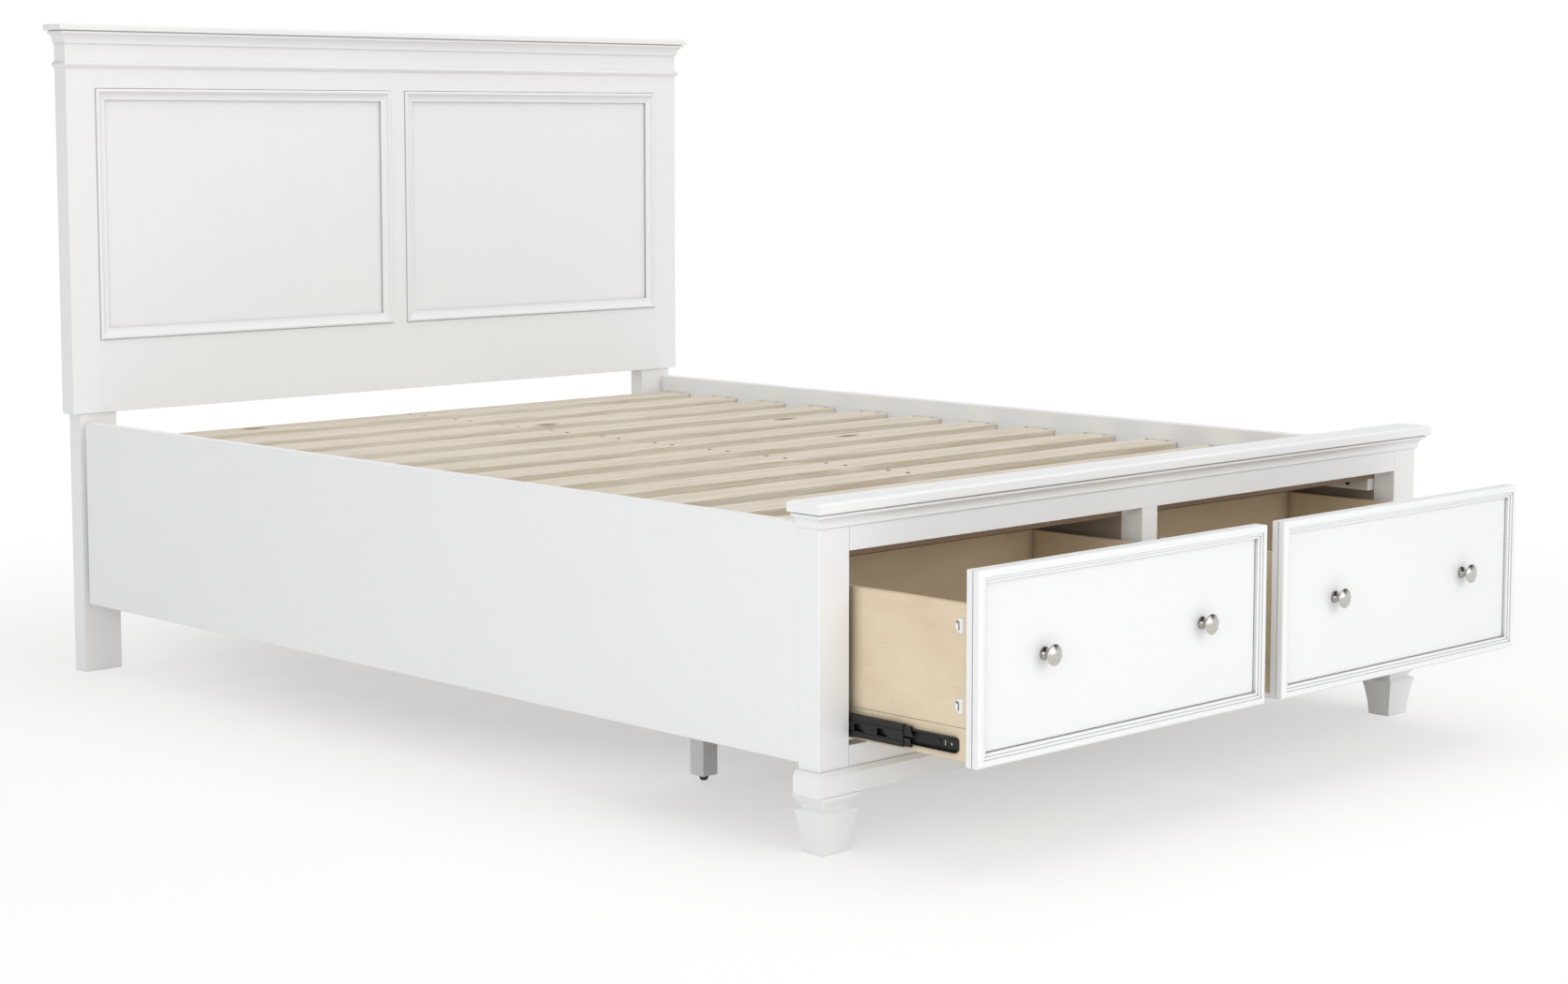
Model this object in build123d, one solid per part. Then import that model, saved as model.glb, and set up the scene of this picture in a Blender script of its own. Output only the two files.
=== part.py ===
from build123d import *
import os

# A queen panel bed with two drawers in its footboard. Millimetres, X across the bed,
# Y towards the headboard, Z up, floor at Z = 0. The drawers stand open as they are drawn.

# Side rails
BED_WIDTH = 1614
RAIL_LENGTH = 2098
RAIL_THICK = 22
RAIL_BOTTOM = 143
RAIL_HEIGHT = 377
RAIL_END_GAP = 10
ARRIS = 1.2

# Footboard face frame
POST_WIDTH = 67
POST_DEPTH = 46
FACE_RAIL_DEPTH = 30
CENTRE_STILE = 41
FOOT_HEIGHT = 94
OPENING_BOTTOM = 167
OPENING_HEIGHT = 307
TOP_RAIL_HEIGHT = 64

# Footboard cap, its bed moulding and the base moulding
CAP_THICK = 18
CAP_EASE = 5
CAP_FRONT = 21.5
CAP_SIDE = 21
CAP_BACK = 4.5
BED_MOULD_HEIGHT = 26
BED_MOULD_OUT = 16
BASE_HEIGHT = 39
BASE_OUT = 11
BASE_BEVEL = 7
BASE_QUIRK = 1.6

# Feet under the footboard
TOE_WIDTH = 59
TOE_DEPTH = 45
FOOT_LIP_OUT = 10
FOOT_LIP_RISE = 66
FOOT_NECK_IN = 8
FOOT_CROWN_OUT = 1.5

# Drawer cabinet behind the face frame
CABINET_DEPTH = 465
CABINET_WALL = 15
CABINET_BACK = 18
DECK_DROP = 10
DUST_PANEL = 8
CLEAT_WIDTH = 20
CLEAT_HEIGHT = 22
REAR_LEG = 33
REAR_LEG_INSET = 238
GLIDE_TALL = 10
GLIDE_RADIUS = 8
GLIDE_STEM = 4
GLIDE_STEM_LENGTH = 22
RUNNING_GAP = 0.4

# Slats, centre beam and steel brackets
SLAT_COUNT = 13
SLAT_WIDTH = 89
SLAT_THICK = 19
SLAT_MARGIN = 15
SLAT_END_GAP = 2
BEAM_WIDTH = 38
BEAM_HEIGHT = 70
BEAM_END_GAP = 40
CENTRE_LEG = 38
CENTRE_LEG_SPAN = 706
STEEL = 3
BRACKET_HEIGHT = 180
BRACKET_REACH = 45
BRACKET_DROP = 140
HANGER_REACH = 45
BOLT_RADIUS = 7
BOLT_HEAD = 5
COUNTERBORE_RADIUS = 10

# Headboard
HEADBOARD_OVERHANG = 24
HEADBOARD_DEPTH = 42
HEADBOARD_BOTTOM = 538
HEADBOARD_TOP = 1332
FRAME_THICK = 22
STILE_WIDTH = 67
MULLION_WIDTH = 38
LOWER_RAIL_HEIGHT = 149
UPPER_RAIL_HEIGHT = 116
PANEL_THICK = 8
PANEL_SET = 9
PANEL_MOULD = 24
PANEL_BEAD = 7.5
PANEL_BEAD_PROUD = 5.5
PANEL_UNDERCUT = 4
PANEL_UNDERCUT_REACH = 9
BACK_PANEL = 4
CROWN_THICK = 12
CROWN_EASE = 4
CROWN_FRONT = 20
CROWN_SIDE = 22
CROWN_MOULD_HEIGHT = 28
CROWN_MOULD_OUT = 16
SHADOW_LINE = 2
BEAD_DROP = 62
BEAD_HEIGHT = 14
BEAD_OUT = 7
LEG_WIDTH = 85
LEG_DEPTH = 40
LEG_SETBACK = 6
LEG_INSET = 18
LEG_LAP = 330
LEG_BOLT_MARGIN = 60

# Drawers
DRAWER_OPEN = 268
FRONT_GAP = 3
PLATE_THICK = 11
FRAME_MOULD = 15
FRAME_MOULD_WIDTH = 21
FRAME_MOULD_STEP = 1.8
FRAME_MOULD_FALL = 0.7
RECESS = 11
FIELD_GAP = 1.2
BOX_WALL = 12
BOX_FLOOR = 6
BOX_FLOOR_RISE = 10
BOX_BOTTOM_GAP = 9
BOX_TOP_GAP = 18
BOX_REAR_GAP = 3.5
SEAM_RISE = 50
SEAM_DEPTH = 0.8
KNOB_SPREAD = 391
KNOB_RISE = 5
KNOB_HEAD = 17
KNOB_BASE = 10.5
KNOB_NECK = 6
KNOB_PROJECTION = 27
CLIP_HEIGHT = 24
CLIP_DEPTH = 16
CLIP_SINK = 8
CLIP_SETBACK = 16
CLIP_TOP_DROP = 34
CLIP_PITCH = 123

# Three-part ball-bearing slides
SLIDE_GAP = 12.7
SLIDE_RISE = 23
SLIDE_FRONT_GAP = 2
SLIDE_REAR_GAP = 13
SLIDE_SHEET = 1.3
OUTER_HALF = 22.5
MIDDLE_HALF = 17.3
INNER_HALF = 11.7
OUTER_FLANGE = 9.2
MIDDLE_WEB_GAP = 0.9
MIDDLE_FLANGE = 7.8
INNER_FLANGE = 7.7
MIDDLE_SHARE = 0.6
CAGE_LENGTH = 160
CAGE_INSET = 14
CAGE_LEAD = 14
CAGE_WIDTH = 5
RETAINER_SHEET = 0.8
RETAINER_NOTCH = 3
RETAINER_TONGUE = 6
WINDOW_COUNT = 6
WINDOW_FIRST = 40
WINDOW_PITCH = 50
WINDOW_LENGTH = 15
WINDOW_TAIL = 6
WINDOW_TOP = 4.5
CREASE_RISE = 7.5
CREASE_WIDTH = 1.4
CREASE_DEPTH = 0.7
HOLE_RADIUS = 2.6
HOLE_INSET = 15
HOLE_PITCH = 26
CAM_SLOT_WIDTH = 3.5
CAM_SLOT_HEIGHT = 9.5
SLIDE_NOSE = 4

# Places that follow from the sizes
half = BED_WIDTH / 2
post_in = half - POST_WIDTH
stile_half = CENTRE_STILE / 2
rail_in = half - RAIL_THICK
opening_top = OPENING_BOTTOM + OPENING_HEIGHT
cap_under = opening_top + TOP_RAIL_HEIGHT
deck = opening_top - DECK_DROP
cabinet_top = deck - DUST_PANEL
knob_proud = KNOB_PROJECTION - RECESS
front_thick = PLATE_THICK + FRAME_MOULD
length = DRAWER_OPEN + knob_proud + POST_DEPTH + RAIL_LENGTH + LEG_DEPTH
face = DRAWER_OPEN + knob_proud - length / 2
post_back = face + POST_DEPTH
cabinet_back = post_back + CABINET_DEPTH
head = post_back + RAIL_LENGTH - LEG_SETBACK
leg_front = head + LEG_SETBACK
leg_back = leg_front + LEG_DEPTH
rail_end = leg_front - RAIL_END_GAP
head_half = half + HEADBOARD_OVERHANG
crown_under = HEADBOARD_TOP - CROWN_THICK
panel_bottom = HEADBOARD_BOTTOM + LOWER_RAIL_HEIGHT
panel_top = crown_under - UPPER_RAIL_HEIGHT
panel_out = head_half - STILE_WIDTH
panel_in = MULLION_WIDTH / 2
leg_out = head_half - LEG_INSET
leg_in = leg_out - LEG_WIDTH


def block(x0, x1, y0, y1, z0, z1):
    """A board between two corners."""
    size = Box(x1 - x0, y1 - y0, z1 - z0)
    return Pos((x0 + x1) / 2, (y0 + y1) / 2, (z0 + z1) / 2) * size


def eased(solid):
    """A board with its sharp edges taken off."""
    return chamfer(solid.edges(), ARRIS)


def flipped(solid):
    """The same piece on the other side of the bed."""
    return mirror(solid, about=Plane.YZ)


def plan(points, low, high):
    """A floor-plan outline raised from one height to another."""
    outline = make_face(Polyline(*points, close=True))
    return extrude(Pos(0, 0, low) * outline, high - low, dir=(0, 0, 1))


def elevation(points, front, back):
    """An outline seen from the foot of the bed, run from one depth to another."""
    plane = Plane((0, back, 0), x_dir=(1, 0, 0), z_dir=(0, -1, 0))
    outline = make_face(Polyline(*points, close=True))
    return extrude(plane * outline, back - front, dir=(0, -1, 0))


def side_view(points, near, far):
    """An outline seen from the side of the bed, run across from one place to another."""
    plane = Plane((near, 0, 0), x_dir=(0, 1, 0), z_dir=(1, 0, 0))
    outline = make_face(Polyline(*points, close=True))
    return extrude(plane * outline, far - near, dir=(1, 0, 0))


def wrapped(profile, half_width, front, back, reach, low, high):
    """A moulding across a front and back along both sides, mitred at the two corners."""
    wide = half_width + reach
    tip = front - reach
    across_plane = Plane((wide, front, 0), x_dir=(0, -1, 0), z_dir=(-1, 0, 0))
    along_plane = Plane((half_width, back, 0), x_dir=(1, 0, 0), z_dir=(0, -1, 0))
    across = extrude(across_plane * profile, 2 * wide, dir=(-1, 0, 0))
    along = extrude(along_plane * profile, back - tip, dir=(0, -1, 0))
    corners = [(-half_width, front), (half_width, front), (wide, tip), (-wide, tip)]
    side = [(half_width, front), (wide, tip), (wide, back), (half_width, back)]
    right = along & plan(side, low, high)
    return [across & plan(corners, low, high), right, flipped(right)]


def picture_frame(profile, width, x0, x1, z0, z1, back, front):
    """Four mitred lengths of a moulding round a rectangle that faces the foot of the bed."""
    lower_plane = Plane((x0, back, z0), x_dir=(0, 0, 1), z_dir=(1, 0, 0))
    left_plane = Plane((x0, back, z1), x_dir=(1, 0, 0), z_dir=(0, 0, -1))
    lower_outline = [(x0, z0), (x1, z0), (x1 - width, z0 + width), (x0 + width, z0 + width)]
    left_outline = [(x0, z0), (x0 + width, z0 + width), (x0 + width, z1 - width), (x0, z1)]
    lower = extrude(lower_plane * profile, x1 - x0, dir=(1, 0, 0))
    lower = lower & elevation(lower_outline, front, back)
    left = extrude(left_plane * profile, z1 - z0, dir=(0, 0, -1))
    left = left & elevation(left_outline, front, back)
    upper = mirror(lower, about=Plane((0, 0, (z0 + z1) / 2), z_dir=(0, 0, 1)))
    right = mirror(left, about=Plane(((x0 + x1) / 2, 0, 0), z_dir=(1, 0, 0)))
    return [lower, upper, left, right]


def bed_mould_profile(top, height, out):
    """Fillet and cove under a projecting slab, with a shadow line above and below, drawn outwards."""
    fillet_drop = height * 0.24
    cove_top = out * 0.82
    cove_foot = out * 0.26
    foot = top - height + SHADOW_LINE
    cove_low = foot + height * 0.08
    slit = out - 2 * SHADOW_LINE
    sag = Vector(out * 0.34, top - height * 0.52)
    lines = Polyline(
        (cove_foot, cove_low), (cove_foot, foot), (SHADOW_LINE / 2, foot), (SHADOW_LINE / 2, top - height),
        (0, top - height), (0, top), (slit, top), (slit, top - SHADOW_LINE), (out, top - SHADOW_LINE),
        (out, top - fillet_drop), (cove_top, top - fillet_drop))
    lines += ThreePointArc((cove_top, top - fillet_drop), sag, (cove_foot, cove_low))
    return make_face(lines)


# Headboard

def headboard_stile():
    """Right stile, rebated behind so that the leg laps into it."""
    outline = [
        (panel_out, head), (head_half, head), (head_half, head + HEADBOARD_DEPTH),
        (leg_out, head + HEADBOARD_DEPTH), (leg_out, head + FRAME_THICK),
        (panel_out, head + FRAME_THICK)]
    return plan(outline, HEADBOARD_BOTTOM, crown_under)


def headboard_leg():
    """Right leg: full depth below, notched to a tongue behind the headboard frame."""
    outline = [
        (leg_front, 0), (leg_back, 0), (leg_back, HEADBOARD_BOTTOM + LEG_LAP),
        (head + FRAME_THICK, HEADBOARD_BOTTOM + LEG_LAP),
        (head + FRAME_THICK, HEADBOARD_BOTTOM), (leg_front, HEADBOARD_BOTTOM)]
    leg = side_view(outline, leg_in, leg_out)
    for centre in leg_bolt_places():
        leg -= Pos(*centre) * Rot(90, 0, 0) * Cylinder(COUNTERBORE_RADIUS, 2 * BOLT_HEAD)
    return leg


def leg_bolt_places():
    """Centres of the bolts on the back of the right leg."""
    span = LEG_LAP - 2 * LEG_BOLT_MARGIN
    across = (leg_in + leg_out) / 2
    first = HEADBOARD_BOTTOM + LEG_BOLT_MARGIN
    return [(across, leg_back, first + span * step / 2) for step in range(3)]


def panel_mould_profile():
    """Proud bead beside a quirk, then a cove, drawn inwards to a lip that stands clear of the panel."""
    quirk = PANEL_MOULD * 0.05
    bead = quirk + PANEL_BEAD
    crest = PANEL_SET + PANEL_BEAD_PROUD
    shoulder = crest - PANEL_BEAD / 2
    fillet_start = PANEL_MOULD * 0.78
    shelf = PANEL_SET * 0.68
    lip = PANEL_UNDERCUT + ARRIS
    heel = PANEL_MOULD - PANEL_UNDERCUT_REACH
    sag = lip + (PANEL_SET - lip) * 0.25
    lines = Polyline(
        (fillet_start, lip), (PANEL_MOULD, lip), (PANEL_MOULD, PANEL_UNDERCUT), (heel, PANEL_UNDERCUT),
        (heel, 0), (0, 0), (0, shelf), (quirk, shelf), (quirk, shoulder))
    lines += ThreePointArc((quirk, shoulder), ((quirk + bead) / 2, crest), (bead, shoulder))
    lines += ThreePointArc((bead, shoulder), ((bead + fillet_start) / 2, sag), (fillet_start, lip))
    return make_face(lines)


def headboard_panels():
    """Two flat panels set back in the frame."""
    front = head + PANEL_SET
    right = block(panel_in, panel_out, front, front + PANEL_THICK, panel_bottom, panel_top)
    return [right, flipped(right)]


def headboard_panel_mouldings():
    """Mitred mouldings round both panels."""
    right = picture_frame(
        panel_mould_profile(), PANEL_MOULD, panel_in, panel_out, panel_bottom, panel_top,
        head + PANEL_SET, head - PANEL_SET)
    return right + [flipped(piece) for piece in right]


def headboard_crown():
    """Top slab over the front, the ends and the legs behind."""
    wide = head_half + CROWN_SIDE
    slab = block(-wide, wide, head - CROWN_FRONT, leg_back, crown_under, HEADBOARD_TOP)
    slab = fillet(slab.edges().group_by(Axis.Z)[-1], CROWN_EASE)
    return chamfer(slab.edges().group_by(Axis.Z)[0], ARRIS)


def headboard_crown_moulding():
    """Cove under the top slab."""
    profile = bed_mould_profile(crown_under, CROWN_MOULD_HEIGHT, CROWN_MOULD_OUT)
    low = crown_under - CROWN_MOULD_HEIGHT
    back = head + HEADBOARD_DEPTH
    return wrapped(profile, head_half, head, back, CROWN_MOULD_OUT, low, crown_under)


def headboard_bead():
    """Pointed bead round the frieze."""
    top = crown_under - BEAD_DROP
    low = top - BEAD_HEIGHT
    nose = top - BEAD_HEIGHT * 0.45
    land = BEAD_HEIGHT * 0.06
    outline = [
        (0, low), (0, top), (BEAD_OUT * 0.25, top - land), (BEAD_OUT, nose),
        (BEAD_OUT, nose - land), (BEAD_OUT * 0.25, low + land)]
    profile = make_face(Polyline(*outline, close=True))
    return wrapped(profile, head_half, head, head + HEADBOARD_DEPTH, BEAD_OUT, low, top)


def headboard_back_panel():
    """Thin back, cut away below for the two legs."""
    shoulder = HEADBOARD_BOTTOM + LEG_LAP
    outline = [
        (-leg_in, HEADBOARD_BOTTOM), (leg_in, HEADBOARD_BOTTOM), (leg_in, shoulder),
        (leg_out, shoulder), (leg_out, crown_under), (-leg_out, crown_under),
        (-leg_out, shoulder), (-leg_in, shoulder)]
    back = head + HEADBOARD_DEPTH
    return elevation(outline, back - BACK_PANEL, back)


# Footboard

def footboard_foot():
    """Right foot: tapered toe, scotia neck and ovolo crown, mitred on all four corners."""
    centre_x = half - FOOT_LIP_OUT - TOE_WIDTH / 2
    centre_y = face + POST_DEPTH / 2
    spread = TOE_WIDTH + TOE_DEPTH
    front_plane = Plane((centre_x, centre_y + spread, 0), x_dir=(1, 0, 0), z_dir=(0, -1, 0))
    side_plane = Plane((centre_x + spread, centre_y, 0), x_dir=(0, -1, 0), z_dir=(-1, 0, 0))
    across = extrude(front_plane * foot_outline(TOE_WIDTH / 2), 2 * spread, dir=(0, -1, 0))
    along = extrude(side_plane * foot_outline(TOE_DEPTH / 2), 2 * spread, dir=(-1, 0, 0))
    return across & along


def foot_outline(toe):
    """Front view of a foot whose toe is this half width."""
    lip = toe + FOOT_LIP_OUT
    neck = lip - FOOT_NECK_IN
    crown = lip + FOOT_CROWN_OUT
    bare = FOOT_HEIGHT - FOOT_LIP_RISE
    lip_top = FOOT_LIP_RISE + bare * 0.07
    neck_foot = FOOT_LIP_RISE + bare * 0.22
    neck_top = FOOT_LIP_RISE + bare * 0.5
    crown_foot = FOOT_LIP_RISE + bare * 0.8
    waist = toe + FOOT_LIP_OUT * 0.34
    lines = ThreePointArc((toe, 0), (waist, FOOT_LIP_RISE / 2), (lip, FOOT_LIP_RISE))
    lines += Polyline((lip, FOOT_LIP_RISE), (lip, lip_top), (neck, neck_foot))
    lines += ThreePointArc(
        (neck, neck_foot), (neck + FOOT_NECK_IN * 0.12, (neck_foot + neck_top) / 2),
        (neck + FOOT_NECK_IN * 0.5, neck_top))
    lines += Polyline(
        (neck + FOOT_NECK_IN * 0.5, neck_top), (crown, crown_foot), (crown, FOOT_HEIGHT),
        (0, FOOT_HEIGHT), (0, 0), (toe, 0))
    right = make_face(lines)
    return right + mirror(right, about=Plane.YZ)


def footboard_cap():
    """Eased slab along the top of the footboard."""
    wide = half + CAP_SIDE
    slab = block(-wide, wide, face - CAP_FRONT, post_back + CAP_BACK, cap_under, cap_under + CAP_THICK)
    slab = fillet(slab.edges().group_by(Axis.Z)[-1], CAP_EASE)
    return fillet(slab.edges().group_by(Axis.Z)[0], CAP_EASE / 2)


def footboard_bed_moulding():
    """Cove under the cap, returned along the posts."""
    profile = bed_mould_profile(cap_under, BED_MOULD_HEIGHT, BED_MOULD_OUT)
    low = cap_under - BED_MOULD_HEIGHT
    return wrapped(profile, half, face, post_back, BED_MOULD_OUT, low, cap_under)


def footboard_base_moulding():
    """Bevelled plinth strip over the feet."""
    top = FOOT_HEIGHT + BASE_HEIGHT
    outline = [
        (0, FOOT_HEIGHT), (0, top - BASE_QUIRK), (BASE_QUIRK, top - BASE_QUIRK), (BASE_QUIRK, top),
        (BASE_OUT - BASE_BEVEL, top), (BASE_OUT, top - BASE_BEVEL),
        (BASE_OUT, FOOT_HEIGHT + ARRIS), (BASE_OUT - ARRIS, FOOT_HEIGHT)]
    profile = make_face(Polyline(*outline, close=True))
    return wrapped(profile, half, face, post_back, BASE_OUT, FOOT_HEIGHT, top)


# Drawer cabinet

def partition():
    """Two boards behind the centre stile, held apart by a strip above and below."""
    board = block(stile_half - CABINET_WALL, stile_half, post_back, cabinet_back, RAIL_BOTTOM, cabinet_top)
    inner = stile_half - CABINET_WALL
    strips = [RAIL_BOTTOM, cabinet_top - CLEAT_HEIGHT]
    spacers = [
        block(-inner, inner, post_back, cabinet_back, low, low + CLEAT_HEIGHT) for low in strips]
    return [board, flipped(board)] + spacers


def slat_cleats():
    """Bearers along the rails for the slats, and along the outer side of each drawer bay for the panel."""
    low = cabinet_top - CLEAT_HEIGHT
    in_bay = block(post_in - CLEAT_WIDTH, post_in, post_back, cabinet_back, low, cabinet_top)
    on_rail = block(rail_in - CLEAT_WIDTH, rail_in, post_back, rail_end, deck - CLEAT_HEIGHT, deck)
    right = [in_bay, on_rail]
    return right + [flipped(cleat) for cleat in right]


def support_leg(size, x, y, top):
    """Square leg with a blind hole for the stem of its glide."""
    leg = block(x - size / 2, x + size / 2, y - size / 2, y + size / 2, GLIDE_TALL, top)
    hole = Cylinder(GLIDE_STEM + RUNNING_GAP, GLIDE_STEM_LENGTH + RUNNING_GAP,
                    align=(Align.CENTER, Align.CENTER, Align.MIN))
    return leg - Pos(x, y, GLIDE_TALL) * hole


def glide(x, y):
    """Screw-in levelling glide: domed foot and stem."""
    tread = GLIDE_RADIUS * 0.6
    rim = GLIDE_TALL * 0.5
    lines = Polyline((0, 0), (tread, 0))
    lines += RadiusArc((tread, 0), (GLIDE_RADIUS, rim), -GLIDE_RADIUS)
    lines += Polyline(
        (GLIDE_RADIUS, rim), (GLIDE_RADIUS, GLIDE_TALL), (GLIDE_STEM, GLIDE_TALL),
        (GLIDE_STEM, GLIDE_TALL + GLIDE_STEM_LENGTH), (0, GLIDE_TALL + GLIDE_STEM_LENGTH), (0, 0))
    return Pos(x, y, 0) * revolve(Plane.XZ * make_face(lines), Axis.Z)


# Rails, slats and centre beam

def rail_bracket(y, towards):
    """Steel angle in the corner of the right rail, one wing on the rail and one on the leg."""
    top = RAIL_BOTTOM + RAIL_HEIGHT - BRACKET_DROP
    wing_in = post_in + CABINET_WALL + SLAT_END_GAP
    far = y + towards * BRACKET_REACH
    outline = [
        (rail_in, y), (wing_in, y), (wing_in, y + towards * STEEL),
        (rail_in - STEEL, y + towards * STEEL), (rail_in - STEEL, far), (rail_in, far)]
    return plan(outline, top - BRACKET_HEIGHT, top)


def bolt_head(x, y, z, towards):
    """Hexagon head standing off a face, towards the head or the foot of the bed."""
    plane = Plane((x, y, z), x_dir=(1, 0, 0), z_dir=(0, towards, 0))
    return extrude(plane * RegularPolygon(BOLT_RADIUS, 6), BOLT_HEAD, dir=(0, towards, 0))


def frame_bolts():
    """Bolts through the rail brackets and through the headboard legs."""
    bolts = []
    across = (post_in + CABINET_WALL + SLAT_END_GAP + rail_in - STEEL) / 2
    middle = RAIL_BOTTOM + RAIL_HEIGHT - BRACKET_DROP - BRACKET_HEIGHT / 2
    for step in (-1, 1):
        z = middle + step * BRACKET_HEIGHT / 4
        bolts.append(bolt_head(across, post_back + STEEL, z, 1))
        bolts.append(bolt_head(across, leg_front - STEEL, z, -1))
    for x, y, z in leg_bolt_places():
        bolts.append(bolt_head(x, y - BOLT_HEAD, z, 1))
    return bolts + [flipped(bolt) for bolt in bolts]


def slats():
    """Slats across the rails, the drawer cabinet and the centre beam."""
    wide = rail_in - SLAT_END_GAP
    first = post_back + SLAT_MARGIN
    pitch = (head - SLAT_MARGIN - SLAT_WIDTH - first) / (SLAT_COUNT - 1)
    boards = []
    for step in range(SLAT_COUNT):
        y = first + step * pitch
        boards.append(eased(block(-wide, wide, y, y + SLAT_WIDTH, deck, deck + SLAT_THICK)))
    return boards


def beam_hanger():
    """Steel stirrup that carries the foot end of the centre beam on the cabinet back."""
    back = cabinet_back + CABINET_BACK
    wide = BEAM_WIDTH / 2
    low = deck - BEAM_HEIGHT
    shell = block(-wide - STEEL, wide + STEEL, back, back + HANGER_REACH, low - STEEL, deck - CLEAT_HEIGHT)
    return shell - block(-wide, wide, back, back + HANGER_REACH, low, deck)


def centre_leg_places():
    """Distances along the bed of the two legs under the centre beam."""
    end = head - BEAM_END_GAP
    return [cabinet_back + CABINET_BACK + CENTRE_LEG_SPAN, end - CENTRE_LEG]


# Drawers, drawn for the right bay

drawer_face = face - DRAWER_OPEN
plate_back = drawer_face + front_thick
front_x0 = stile_half + FRONT_GAP
front_x1 = post_in - FRONT_GAP
front_z0 = OPENING_BOTTOM + FRONT_GAP
front_z1 = opening_top - FRONT_GAP
front_mid_x = (front_x0 + front_x1) / 2
front_mid_z = (front_z0 + front_z1) / 2
box_x0 = stile_half + SLIDE_GAP
box_x1 = post_in - SLIDE_GAP
box_low = OPENING_BOTTOM + BOX_BOTTOM_GAP
box_top = cabinet_top - CLEAT_HEIGHT - BOX_TOP_GAP
box_back = cabinet_back - BOX_REAR_GAP - DRAWER_OPEN
slide_z = box_low + SLIDE_RISE
slide_front = post_back + SLIDE_FRONT_GAP
slide_length = CABINET_DEPTH - SLIDE_FRONT_GAP - SLIDE_REAR_GAP


def front_mould_profile():
    """Drawer-front moulding drawn inwards: round nose, flat, and two beads that step down to the field."""
    nose = FRAME_MOULD * 0.3
    shadow = FRAME_MOULD * 0.12
    width = FRAME_MOULD_WIDTH
    flat = width * 0.55
    middle = width * 0.77
    first = FRAME_MOULD - FRAME_MOULD_STEP
    first_foot = first - FRAME_MOULD_FALL
    second = first_foot - FRAME_MOULD_STEP
    lip = second - FRAME_MOULD_FALL
    lines = Polyline(
        (width, lip), (width, 0), (shadow, 0), (shadow, shadow), (0, shadow), (0, FRAME_MOULD - nose))
    lines += RadiusArc((0, FRAME_MOULD - nose), (nose, FRAME_MOULD), nose)
    lines += Polyline((nose, FRAME_MOULD), (flat, FRAME_MOULD), (flat, first))
    lines += RadiusArc((flat, first), (middle, first_foot), width * 0.3)
    lines += Line((middle, first_foot), (middle, second))
    lines += RadiusArc((middle, second), (width, lip), width * 0.3)
    return make_face(lines)


def drawer_front_plate():
    """Back plate of the front with its raised field, a shadow gap inside the moulding."""
    join = drawer_face + FRAME_MOULD
    plate = block(front_x0, front_x1, join, plate_back, front_z0, front_z1)
    inset = FRAME_MOULD_WIDTH + FIELD_GAP
    field = block(front_x0 + inset, front_x1 - inset, drawer_face + RECESS, join,
                  front_z0 + inset, front_z1 - inset)
    return plate + field


def drawer_front_moulding():
    """Mitred moulding laid on the edge of the plate."""
    join = drawer_face + FRAME_MOULD
    return picture_frame(front_mould_profile(), FRAME_MOULD_WIDTH, front_x0, front_x1,
                         front_z0, front_z1, join, drawer_face)


def clip_places():
    """Centre heights of the two clips on each drawer side."""
    top = box_top - CLIP_TOP_DROP
    return [top, top - CLIP_PITCH]


def clip_outline(slack):
    """D shape of a clip, flat towards the drawer front."""
    radius = CLIP_HEIGHT / 2 + slack
    straight = CLIP_DEPTH - CLIP_HEIGHT / 2
    lines = Polyline((straight, radius), (-slack, radius), (-slack, -radius), (straight, -radius))
    lines += ThreePointArc((straight, -radius), (straight + radius, 0), (straight, radius))
    return make_face(lines)


def clip_plane(z):
    """Where a clip lies on the outer face of the box side next to the post."""
    return Plane((box_x1, plate_back + CLIP_SETBACK, z), x_dir=(0, 1, 0), z_dir=(1, 0, 0))


def drawer_clips():
    """Knock-down clips let into the sides, each with a screw slot."""
    clips = []
    for z in clip_places():
        clip = extrude(clip_plane(z) * clip_outline(-RUNNING_GAP / 2), CLIP_SINK, dir=(-1, 0, 0))
        slot_y = plate_back + CLIP_SETBACK + CLIP_DEPTH * 0.45
        clip -= block(box_x1 - CLIP_SINK * 0.4, box_x1, slot_y, slot_y + CLIP_DEPTH * 0.16,
                      z - CLIP_HEIGHT * 0.3, z + CLIP_HEIGHT * 0.3)
        clip -= block(box_x1 - CLIP_SINK * 0.4, box_x1, slot_y, slot_y + CLIP_DEPTH * 0.4,
                      z + CLIP_HEIGHT * 0.14, z + CLIP_HEIGHT * 0.3)
        clips.append(clip)
    middle = Plane((front_mid_x, 0, 0), z_dir=(1, 0, 0))
    return clips + [mirror(clip, about=middle) for clip in clips]


def drawer_box():
    """Two sides and a back of plywood, with a glued seam along each side."""
    side = block(box_x1 - BOX_WALL, box_x1, plate_back, box_back, box_low, box_top)
    for z in clip_places():
        side -= extrude(clip_plane(z) * clip_outline(0), CLIP_SINK, dir=(-1, 0, 0))
    seam_z = box_low + SEAM_RISE
    side -= block(box_x1 - SEAM_DEPTH, box_x1, plate_back, box_back, seam_z, seam_z + SEAM_DEPTH)
    other = mirror(side, about=Plane((front_mid_x, 0, 0), z_dir=(1, 0, 0)))
    back = block(box_x0 + BOX_WALL, box_x1 - BOX_WALL, box_back - BOX_WALL, box_back, box_low, box_top)
    return [side, other, back]


def drawer_bottom():
    """Plywood floor between the sides."""
    low = box_low + BOX_FLOOR_RISE
    return block(box_x0 + BOX_WALL, box_x1 - BOX_WALL, plate_back, box_back - BOX_WALL,
                 low, low + BOX_FLOOR)


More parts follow.
